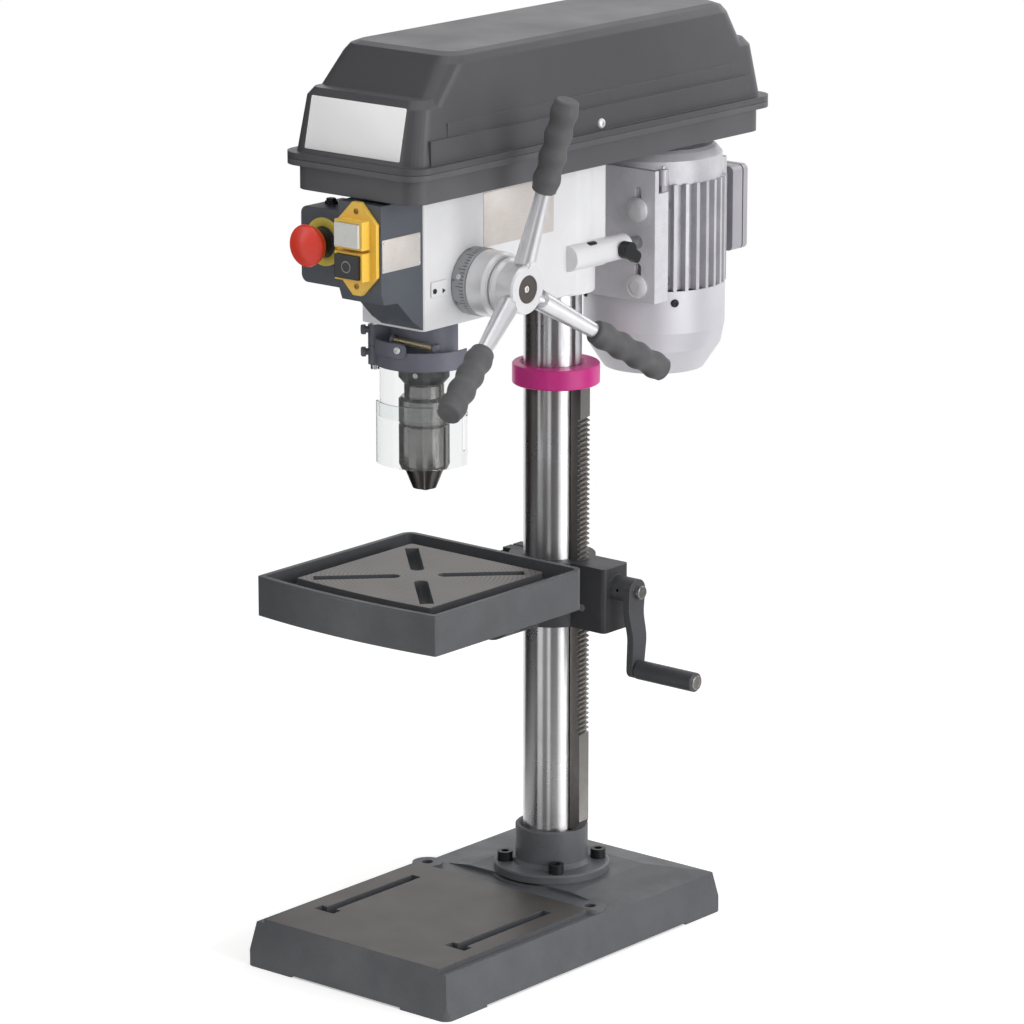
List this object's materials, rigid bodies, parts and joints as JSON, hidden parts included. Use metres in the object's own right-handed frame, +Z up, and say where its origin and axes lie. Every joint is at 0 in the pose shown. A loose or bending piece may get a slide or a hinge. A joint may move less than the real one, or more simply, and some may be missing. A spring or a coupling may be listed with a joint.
{
  "type": "benchtop drill press",
  "caption": "Benchtop drill press with slotted cast base, round column, rack-and-crank tilting table, belt hood, rear motor, three-arm quill feed, chuck guard and emergency stop.",
  "frame": {"origin": "on the bench plane, midway between the two bench bolt holes of the base", "axes": "+X to the operator's right, +Y to the back, +Z up along the column"},
  "size_m": [0.33, 0.616, 0.948],
  "materials": {
    "cast_paint": "satin grey paint on cast iron",
    "machined_iron": "ground cast iron with painted skirt",
    "column_steel": "ground and polished",
    "steel": "turned steel",
    "black_steel": "black oxide",
    "head_paint": "textured white paint",
    "hood_paint": "satin charcoal paint",
    "switch_plastic": "fine texture",
    "yellow_plastic": "smooth",
    "red_plastic": "smooth",
    "white_plastic": "smooth",
    "black_plastic": "fine texture",
    "grip_rubber": "soft matt",
    "belt_rubber": "matt",
    "collar_paint": "smooth",
    "hub_metal": "satin",
    "dial_metal": "satin with engraved marks",
    "motor_paint": "silver grey paint",
    "clear_plastic": "clear polycarbonate"
  },
  "bodies": {
    "frame": {"base": "cast_paint", "column_flange": "cast_paint", "flange_screws": "black_steel", "column": "column_steel", "head_casting": "head_paint", "head_bearings": "steel", "spring_housing": "head_paint", "return_spring": "steel", "switch_box": "switch_plastic", "estop_box": "switch_plastic", "switch_plate": "yellow_plastic", "guard_ring": "black_plastic", "guard_spring": "steel", "belt_tray": "hood_paint", "v_belt": "belt_rubber"},
    "rack_ring": {"rack": "steel", "rack_collar": "collar_paint"},
    "lift_bracket": {"table_bracket": "cast_paint", "lift_gear_pin": "steel", "tilt_bolt": "black_steel"},
    "clamp": {"clamp_lever": "black_steel"},
    "gear": {"lift_gear": "steel"},
    "crank": {"worm_shaft": "steel", "crank_arm": "cast_paint"},
    "crank_handle": {"crank_grip": "black_plastic"},
    "table": {"table_tray": "machined_iron"},
    "feed": {"feed_shaft": "steel", "feed_hub": "hub_metal", "feed_arms": "hub_metal", "feed_grips": "grip_rubber", "hub_cap": "black_plastic"},
    "dial": {"depth_ring": "dial_metal"},
    "quill_unit": {"quill": "steel", "quill_bearings": "steel", "quill_collar": "black_steel"},
    "spindle_unit": {"spindle": "steel", "chuck_body": "steel"},
    "sleeve": {"chuck_sleeve": "steel"},
    "jaw_1": {"chuck_jaw_1": "steel"},
    "jaw_2": {"chuck_jaw_2": "steel"},
    "jaw_3": {"chuck_jaw_3": "steel"},
    "start": {"start_button": "white_plastic"},
    "stop": {"stop_button": "black_plastic"},
    "estop_neck": {"estop_stem": "black_plastic"},
    "estop_head": {"estop_button": "red_plastic"},
    "guard": {"guard_pin": "steel", "guard_band": "black_plastic", "shield_upper": "clear_plastic"},
    "guard_slide": {"shield_lower": "clear_plastic"},
    "pulley": {"spindle_pulley": "hub_metal"},
    "motor": {"motor_plate": "motor_paint", "slide_bars": "steel", "motor_body": "motor_paint", "fan_cover": "motor_paint", "terminal_box": "motor_paint", "motor_bolts": "white_plastic"},
    "rotor": {"motor_rotor": "steel", "motor_pulley": "hub_metal"},
    "hood": {"belt_hood": "hood_paint"},
    "wing": {"wing_screw": "black_steel"}
  },
  "joints": [
    {"name": "table_swivel", "type": "hinge", "parent": "frame", "child": "rack_ring", "pos_m": [0, 0.072, 0.4], "axis": [0, 0, 1], "range_deg": [-180, 180]},
    {"name": "table_lift", "type": "slide", "parent": "rack_ring", "child": "lift_bracket", "axis": [0, 0, 1], "range_m": [-0.1362, 0.0802]},
    {"name": "crank_turn", "type": "hinge", "parent": "lift_bracket", "child": "crank", "pos_m": [0.11969, 0.072, 0.36913], "axis": [1, 0, 0], "range_deg": [-5538, 9415]},
    {"name": "lift_gear_turn", "type": "hinge", "parent": "lift_bracket", "child": "gear", "pos_m": [0.05515, 0.072, 0.348], "axis": [0, 0.9947, 0.1029], "range_deg": [-347.12, 589.44]},
    {"name": "crank_grip_spin", "type": "hinge", "parent": "crank", "child": "crank_handle", "pos_m": [0.15969, 0.06503, 0.28943], "axis": [1, 0, 0], "continuous": true},
    {"name": "table_tilt", "type": "hinge", "parent": "lift_bracket", "child": "table", "pos_m": [0, -0.006, 0.352], "axis": [0, 1, 0], "range_deg": [-45, 45]},
    {"name": "clamp_turn", "type": "hinge", "parent": "lift_bracket", "child": "clamp", "pos_m": [-0.054, 0.072, 0.375], "axis": [0, 1, 0], "range_deg": [0, 90]},
    {"name": "feed_turn", "type": "hinge", "parent": "frame", "child": "feed", "pos_m": [0, -0.102, 0.712], "axis": [1, 0, 0], "range_deg": [0, 413.84], "stiffness_Nm_per_rad": 0.15, "springref_deg": -343.77},
    {"name": "quill_feed", "type": "slide", "parent": "frame", "child": "quill_unit", "axis": [0, 0, 1], "range_m": [-0.0651, 0]},
    {"name": "depth_ring_set", "type": "hinge", "parent": "feed", "child": "dial", "pos_m": [0.05, -0.102, 0.712], "axis": [1, 0, 0], "range_deg": [-150, 150]},
    {"name": "spindle_spin", "type": "hinge", "parent": "quill_unit", "child": "spindle_unit", "pos_m": [0, -0.129, 0.65], "axis": [0, 0, -1], "continuous": true},
    {"name": "pulley_spin", "type": "hinge", "parent": "frame", "child": "pulley", "pos_m": [0, -0.129, 0.85], "axis": [0, 0, -1], "continuous": true},
    {"name": "motor_spin", "type": "hinge", "parent": "motor", "child": "rotor", "pos_m": [0, 0.239, 0.8], "axis": [0, 0, -1], "continuous": true},
    {"name": "chuck_sleeve_turn", "type": "hinge", "parent": "spindle_unit", "child": "sleeve", "pos_m": [0, -0.129, 0.54], "axis": [0, 0, 1], "range_deg": [0, 720]},
    {"name": "jaw_1_slide", "type": "slide", "parent": "spindle_unit", "child": "jaw_1", "axis": [0, 0.309, 0.9511], "range_m": [0, 0.0201]},
    {"name": "jaw_2_slide", "type": "slide", "parent": "spindle_unit", "child": "jaw_2", "axis": [-0.2676, -0.1545, 0.9511], "range_m": [0, 0.0201]},
    {"name": "jaw_3_slide", "type": "slide", "parent": "spindle_unit", "child": "jaw_3", "axis": [0.2676, -0.1545, 0.9511], "range_m": [0, 0.0201]},
    {"name": "start_press", "type": "slide", "parent": "frame", "child": "start", "axis": [0, 1, 0], "range_m": [0, 0.003], "stiffness_N_per_m": 900, "springref_m": -0.002},
    {"name": "stop_press", "type": "slide", "parent": "frame", "child": "stop", "axis": [0, 1, 0], "range_m": [0, 0.003], "stiffness_N_per_m": 900, "springref_m": -0.002},
    {"name": "estop_press", "type": "slide", "parent": "frame", "child": "estop_neck", "axis": [0, 1, 0], "range_m": [0, 0.006], "stiffness_N_per_m": 1500, "springref_m": -0.003},
    {"name": "estop_twist", "type": "hinge", "parent": "estop_neck", "child": "estop_head", "pos_m": [-0.04, -0.25, 0.76], "axis": [0, 1, 0], "range_deg": [0, 45], "stiffness_Nm_per_rad": 0.08, "springref_deg": -22.92},
    {"name": "guard_swing", "type": "hinge", "parent": "frame", "child": "guard", "pos_m": [-0.03252, -0.16512, 0.64], "axis": [0, 0, -1], "range_deg": [0, 110]},
    {"name": "shield_slide", "type": "slide", "parent": "guard", "child": "guard_slide", "axis": [0, 0, 1], "range_m": [0, 0.028]},
    {"name": "motor_slide", "type": "slide", "parent": "frame", "child": "motor", "axis": [0, 1, 0], "range_m": [-0.015, 0]},
    {"name": "hood_open", "type": "hinge", "parent": "frame", "child": "hood", "pos_m": [-0.0948, 0.05, 0.84], "axis": [0, -1, 0], "range_deg": [0, 90]},
    {"name": "wing_turn", "type": "hinge", "parent": "frame", "child": "wing", "pos_m": [0.06, 0.118, 0.71], "axis": [1, 0, 0], "range_deg": [-90, 90]}
  ],
  "couplings": [
    {"joint": "table_lift", "follows": "crank_turn", "m_per_rad": -0.00082761},
    {"joint": "lift_gear_turn", "follows": "crank_turn", "ratio": 0.0625},
    {"joint": "quill_feed", "follows": "feed_turn", "m_per_rad": -0.0089993},
    {"joint": "pulley_spin", "follows": "spindle_spin", "ratio": 1},
    {"joint": "motor_spin", "follows": "spindle_spin", "ratio": 2.1915},
    {"joint": "jaw_1_slide", "follows": "chuck_sleeve_turn", "m_per_rad": 0.0015915},
    {"joint": "jaw_2_slide", "follows": "chuck_sleeve_turn", "m_per_rad": 0.0015915},
    {"joint": "jaw_3_slide", "follows": "chuck_sleeve_turn", "m_per_rad": 0.0015915}
  ]
}
